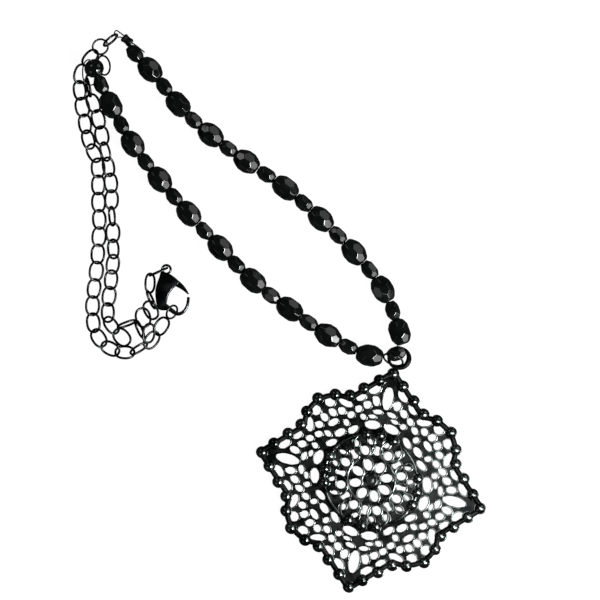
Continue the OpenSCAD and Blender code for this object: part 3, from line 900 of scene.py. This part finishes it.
@dataclass
class Pendant(Maker):
    """Wirework, balls and button over the openwork plate, drawn square and laid over its two diagonals."""

    middle: Flat = (24.9, -45.8)
    right: Flat = (30.3 / 31, -7.8 / 31)
    upward: Flat = (6.2 / 31, 29.6 / 31)
    corner: float = 31.0
    plate_top: float = 1.6
    rosette_top: float = 2.8
    # x, y, half length, half width, angle of one eighth's openings
    cells: Rows = (
        (0, 23, 3, 1.2, 90), (3.9, 24.7, 1.6, 1, -42), (7.1, 21.7, 1.3, 0.8, -45),
        (2.9, 21.6, 1.2, 0.8, 78), (5, 20, 1, 0.8, -60), (7.1, 18.3, 0.9, 0.7, -65),
        (8.8, 16.2, 0.9, 0.7, -55), (1.9, 18.8, 1.1, 0.5, -12), (3.1, 17.2, 0.8, 0.4, -10),
        (5.5, 16.5, 0.7, 0.6, 40), (2.6, 15, 1.9, 1, -12), (10.9, 19.2, 1.9, 0.9, 17),
        (15, 18.2, 1.2, 1.1, -20), (11.4, 16.6, 0.9, 0.8, -70), (13.7, 15.6, 1, 0.8, 40),
        (13, 13, 1.4, 0.7, 135), (9.6, 13.8, 0.8, 0.6, 60), (10.7, 10.7, 1.4, 0.8, 135),
        (7.4, 12.4, 1.4, 0.7, -52))
    # distance, count, first angle, half length, half width
    rosette_cells: Rows = (
        (4.3, 8, 22.5, 1.5, 1.1), (8.3, 16, 0, 1.2, 1.05), (10.8, 16, 11.25, 0.9, 0.75))
    # how far a line keeps outside its opening, and how soft its corners are
    cell_margin: float = 0.36
    corner_softness: float = 14.0
    # how deep the wires' middles lie in the metal, and their radii
    wire_sink: float = 0.04
    wire: float = 0.22
    border_wire: float = 0.75
    border_sides: int = 12
    rosette_wire: float = 0.34
    # radius and wire of the rosette's rings
    rosette_rings: Rows = ((12.7, 0.42), (6.45, 0.42), (2.45, 0.3))
    ring_steps: int = 96
    # distance, half length, half width of a raised loop on the rosette
    petal_loop: Spot = (9.6, 2.7, 2.4)
    petal_count: int = 8
    petal_lift: float = 0.2
    petal_wire: float = 0.3
    petal_steps: int = 40
    # the border: distance and radius of its four fans, and how far its line keeps inside the edge
    fan_at: float = 12.1
    fan_radius: float = 8.8
    border_inset: float = 0.35
    border_steps: int = 480
    # share of the side, distance outside its line
    border_balls: Rows = ((0.11, -0.3), (0.22, 0.0), (0.32, 0.3), (0.395, 2.5), (0.5, 4.0))
    corner_ball_at: float = 30.07
    ball_radius: float = 1.5
    rosette_ball_radius: float = 1.45
    rosette_ball_at: float = 12.7
    rosette_ball_angles: tuple[float, ...] = (-17, 0, 17)
    # how far a ball's skin and its collar stand out, and the collar's wire
    ball_skin: float = 0.015
    collar_out: float = 0.02
    collar_wire: float = 0.16
    collar_steps: int = 24
    collar_sides: int = 6
    # radius, height and wall
    button_size: Spot = (2.2, 0.95, 0.2)
    button_pole: float = 88.0
    button_rows: int = 10
    button_sides: int = 40
    bail_middle: Spot = (32.42, -12.82, 1.2)
    bail_heading: float = math.degrees(math.atan2(0.78, -0.62))
    bail_lean: float = 12.8
    bail_radius: float = 2.75
    bail_wire: float = 0.43
    bail_thick: float = 0.74
    # angle on the ring of its thickest place, and how far the thick side reaches each way
    bail_thick_at: float = 205.0
    bail_thick_reach: float = 100.0
    bail_steps: int = 48
    bail_sides: int = 20

    def laid(self, flat: np.ndarray, z: float) -> np.ndarray:
        """Returns rows of x and y of the square pattern, laid over the pendant's diagonals at a height."""
        return raised(flat @ np.array([self.right, self.upward]) + self.middle, z)

    @staticmethod
    def turned(flat: np.ndarray, degrees: float) -> np.ndarray:
        """Turns rows of x and y about the pattern's middle."""
        return flat @ turn(z=degrees)[:2, :2].T

    def oval(self, cell: tuple[float, ...], steps: int = 24) -> np.ndarray:
        """Line just outside an opening, an eight-sided oval with soft corners.

        The distance from the middle at an angle is one over the p-norm of the cosines of the
        angles to the eight sides, and the two half axes stretch it to the opening's size.

        Args:
            cell: The opening's place, half length, half width and angle.
            steps: Points along the line.

        Returns:
            Rows of x and y in the pattern.
        """
        x, y, length, width, angle = cell
        a = round_turn(steps)
        facing = np.clip(np.cos(a[:, None] - round_turn(8)), 0, None)
        reach = 1 / np.sum(facing ** self.corner_softness, axis=1) ** (1 / self.corner_softness)
        halves = [length + self.cell_margin, width + self.cell_margin]
        return self.turned(reach[:, None] * on_circle(a) * halves, angle) + [x, y]

    def loop(self, flat: np.ndarray, z: float, wire: float, sides: int = 8) -> Surface:
        """Returns a closed wire along a line of the pattern."""
        return sweep(self.laid(flat, z), wire, sides, closed=True)

    def plate_wires(self) -> None:
        """Wire round every opening of the plate, on all eight of its parts, and round its border."""
        z = self.plate_top - self.wire_sink
        wires = []
        for cell in self.cells:
            line = self.oval(cell)
            for quarter in range(4):
                part = self.turned(line, 90 * quarter)
                wires.append(self.loop(part, z, self.wire))
                wires.append(self.loop(part * [-1, 1], z, self.wire))
        self.dresser.make("pendant_plate_wirework", wires, Slot.PENDANT)
        rim = self.loop(self.border(), z, self.border_wire, self.border_sides)
        # the border rim is darkened with painted shade by the darker ground finish
        self.dresser.make("pendant_border_rim", [rim], Slot.PENDANT, finish=SHADED_MATTE_GROUND)

    def border(self) -> np.ndarray:
        """Line just inside the plate's edge: at each angle the farther of the square and the four fans.

        The square's edge is its corner's distance over the sum of the cosine's and the sine's
        sizes, and a fan's edge is the far meeting of the ray with its circle.
        """
        ways = on_circle(round_turn(self.border_steps))
        reach = self.corner / np.abs(ways).sum(axis=1)
        for fan in ((1, 1), (-1, 1), (-1, -1), (1, -1)):
            near = self.fan_at * ways @ fan
            inside = near ** 2 - 2 * self.fan_at ** 2 + self.fan_radius ** 2
            far = near + np.sqrt(np.abs(inside))
            reach = np.where((inside > 0) & (near > 0), np.maximum(reach, far), reach)
        return (reach - self.border_inset)[:, None] * ways

    def rosette_wires(self) -> None:
        """Wire round every opening of the rosette, its three rings and its petals."""
        z = self.rosette_top - self.wire_sink
        wires = []
        for distance, count, first, length, width in self.rosette_cells:
            line = self.oval((0, distance, length, width, 90))
            for k in range(count):
                wires.append(self.loop(self.turned(line, first + k * 360 / count), z, self.rosette_wire))
        circle = on_circle(round_turn(self.ring_steps))
        wires.extend(self.loop(radius * circle, z, wire) for radius, wire in self.rosette_rings)
        petal = self.oval((0, *self.petal_loop, 90), self.petal_steps)
        for k in range(self.petal_count):
            line = self.turned(petal, (k + 0.5) * 360 / self.petal_count)
            wires.append(self.loop(line, z + self.petal_lift, self.petal_wire))
        self.dresser.make("pendant_rosette_wirework", wires, Slot.PENDANT)

    def ball_places(self) -> tuple[np.ndarray, np.ndarray]:
        """Places of the border's balls and of the rosette's balls in the pattern."""
        outward = np.full(2, math.sqrt(0.5))
        side = [np.array([0, self.corner_ball_at])]
        for share, out in self.border_balls:
            place = np.array([self.corner * share, self.corner * (1 - share)])
            side.append(place + out * outward)
            if share < 0.5:
                side.append(place[::-1] + out * outward)
        border = [self.turned(np.array(side), 90 * quarter) for quarter in range(4)]
        first = np.array([[0, self.rosette_ball_at]])
        rosette = [self.turned(first, 90 * quarter + angle) for quarter in range(4)
                   for angle in self.rosette_ball_angles]
        return np.vstack(border), np.vstack(rosette)

    def balls(self) -> None:
        """Polished balls along the border and on the rosette, each with a fine collar round its foot."""
        border, rosette = self.ball_places()
        circle = on_circle(round_turn(self.collar_steps))
        surfaces = []
        low, high = self.plate_top, self.rosette_top
        for flat, z, radius, foot in ((border, self.ball_radius, self.ball_radius, low),
                                      (rosette, high, self.rosette_ball_radius, high)):
            for spot, place in zip(flat, self.laid(flat, z)):
                line = spot + (radius + self.collar_out) * circle
                surfaces.append(ball(place, radius + self.ball_skin))
                surfaces.append(self.loop(line, foot, self.collar_wire, self.collar_sides))
        self.dresser.make("pendant_balls", surfaces, Slot.PENDANT)

    def button(self) -> None:
        """Domed button on the rosette's middle, its profile a quarter of an oval above a short wall."""
        a = np.radians(np.linspace(0, self.button_pole, self.button_rows))
        radius, height, wall = self.button_size
        profile = np.vstack([[radius, -wall], on_circle(a) * [radius, height]])
        points, faces = revolve(profile, self.button_sides)
        surface = (points + [*self.middle, self.rosette_top], faces)
        self.dresser.make("pendant_button", [surface], Slot.PENDANT)

    def bail(self) -> None:
        """Thick far side of the bail ring.

        The wire follows the ring's circle, and its radius swells by the square of a sine from
        the ring's own at both ends to the thickest at the middle.
        """
        share = np.linspace(0, 1, self.bail_steps)
        a = np.radians(self.bail_thick_at + self.bail_thick_reach * (2 * share - 1))
        basis = turn(y=self.bail_lean, z=self.bail_heading)
        line = self.bail_radius * on_circle(a) @ basis[:, :2].T + self.bail_middle
        radii = self.bail_wire + (self.bail_thick - self.bail_wire) * np.sin(np.pi * share) ** 2
        wire = sweep(line, radii, self.bail_sides, basis[:, 2])
        # the thick side is darkened with painted shade by the darker ground finish
        self.dresser.make("pendant_bail_ring_side", [wire], Slot.PENDANT, finish=SHADED_MATTE_GROUND)

    def build(self) -> None:
        """Makes the pendant's relief and refinishes its plate."""
        self.plate_wires()
        self.rosette_wires()
        self.balls()
        self.button()
        self.bail()
        # the plate's flats are darkened with painted shade by the darker ground finish
        self.dresser.refinish(self.nodes["pendant"], SHADED_MATTE_GROUND)


@dataclass(frozen=True)
class SoftLight:
    """A square studio light that looks at the necklace's middle, or at a place aside from it."""

    name: str
    heading: float
    height: float
    distance: float
    size: float
    radiance: float
    aim_aside: Flat = (0.0, 0.0)

    def build(self, aim: np.ndarray) -> None:
        """Adds the light, its power being pi times its area times the radiance; aim is in metres."""
        h, e = math.radians(self.heading), math.radians(self.height)
        away = np.array([math.cos(e) * math.cos(h), math.cos(e) * math.sin(h), math.sin(e)])
        data = bpy.data.lights.new(self.name, "AREA")
        data.shape = "SQUARE"
        data.size = self.size
        data.energy = math.pi * self.size ** 2 * self.radiance
        lamp = bpy.data.objects.new(self.name, data)
        lamp.location = aim + np.array([*self.aim_aside, 0]) * MM + self.distance * away
        lamp.visible_camera = False
        lamp.rotation_euler = (math.pi / 2 - e, 0, h + math.pi / 2)
        bpy.context.scene.collection.objects.link(lamp)


@dataclass
class Studio:
    """Pale table, soft lights and a camera straight above."""

    view_middle: Flat = (5.74, 2.84)
    view_width: float = 162.0
    camera_height: float = 1.6
    sensor: float = 36.0
    lights: tuple[SoftLight, ...] = (
        SoftLight("window_light", -22, 24, 0.6, 0.3, 4.5),
        SoftLight("window_edge_light", -32, 47, 0.6, 0.14, 120.0),
        SoftLight("upper_right_card", 40, 24, 0.8, 0.5, 1.0),
        SoftLight("lower_left_card", -140, 30, 0.8, 0.35, 0.7),
        SoftLight("fill_light", 130, 35, 0.8, 0.2, 2.5),
        SoftLight("pendant_card", -10, 76, 0.055, 0.036, 12.0, (38.0, -49.0)))
    # half width of the table, its height and that of the walls round it
    table_half: float = 2000.0
    table_z: float = -0.05
    walls_z: float = 2500.0
    table_roughness: float = 0.9
    table_glow: float = 0.96
    # greys of the paper tone, its clouds per metre and their detail
    table_greys: Flat = (0.03, 0.05)
    tone_scale: float = 60.0
    tone_detail: float = 2.0
    room_colour: Spot = (0.97, 0.98, 1.0)
    room_strength: float = 0.05

    def camera(self) -> None:
        """Camera that looks straight down, with the photograph's width in its frame."""
        data = bpy.data.cameras.new("overhead_camera")
        data.sensor_width = self.sensor
        data.lens = self.sensor * self.camera_height / (self.view_width * MM)
        view = bpy.data.objects.new("overhead_camera", data)
        view.location = (self.view_middle[0] * MM, self.view_middle[1] * MM, self.camera_height)
        bpy.context.scene.collection.objects.link(view)
        bpy.context.scene.camera = view

    def table(self) -> None:
        """White table top and walls with a faint paper tone, bright enough to wash out shadows."""
        square = self.table_half * np.array([[-1, -1], [1, -1], [1, 1], [-1, 1]])
        corners = np.vstack([raised(square, self.table_z), raised(square, self.walls_z)])
        faces = [[0, 1, 2, 3], [0, 4, 5, 1], [1, 5, 6, 2], [2, 6, 7, 3], [3, 7, 4, 0]]
        top = mesh_object("table_top", [(corners, faces)], smooth=False)
        paint = Paint("white_table")
        set_inputs(paint.shader, {"Roughness": self.table_roughness, "Emission Color": (1, 1, 1, 1),
                                  "Emission Strength": self.table_glow})
        darker, lighter = self.table_greys
        tone = paint.clouds(self.tone_scale, self.tone_detail)
        paint.colour(tone, (0, (darker,) * 3), (1, (lighter,) * 3))
        top.data.materials.append(paint.material)
        top.visible_glossy = False

    def build(self) -> None:
        """Sets up table, lights, camera and the room's dim light."""
        self.table()
        self.camera()
        aim = np.array([*self.view_middle, 0.0]) * MM
        for light in self.lights:
            light.build(aim)
        world = bpy.data.worlds.new("dim_room")
        world.use_nodes = True
        set_inputs(world.node_tree.nodes["Background"],
                   {"Color": (*self.room_colour, 1), "Strength": self.room_strength})
        bpy.context.scene.world = world
        bpy.context.scene.view_settings.view_transform = "Standard"


def main() -> None:
    """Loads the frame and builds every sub-assembly in order."""
    logging.basicConfig(level=logging.INFO, format="%(message)s")
    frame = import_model()
    for name in [o.name for o in bpy.data.objects if o.type in {"LIGHT", "CAMERA"} or o.name == "Cube"]:
        bpy.data.objects.remove(bpy.data.objects[name])
    dresser = Dresser()
    nodes = frame["nodes"]
    Studio().build()
    for maker in (Beads, Fittings, Chain, Clasp, Pendant):
        maker(dresser, nodes).build()


if __name__ == "__main__":
    main()
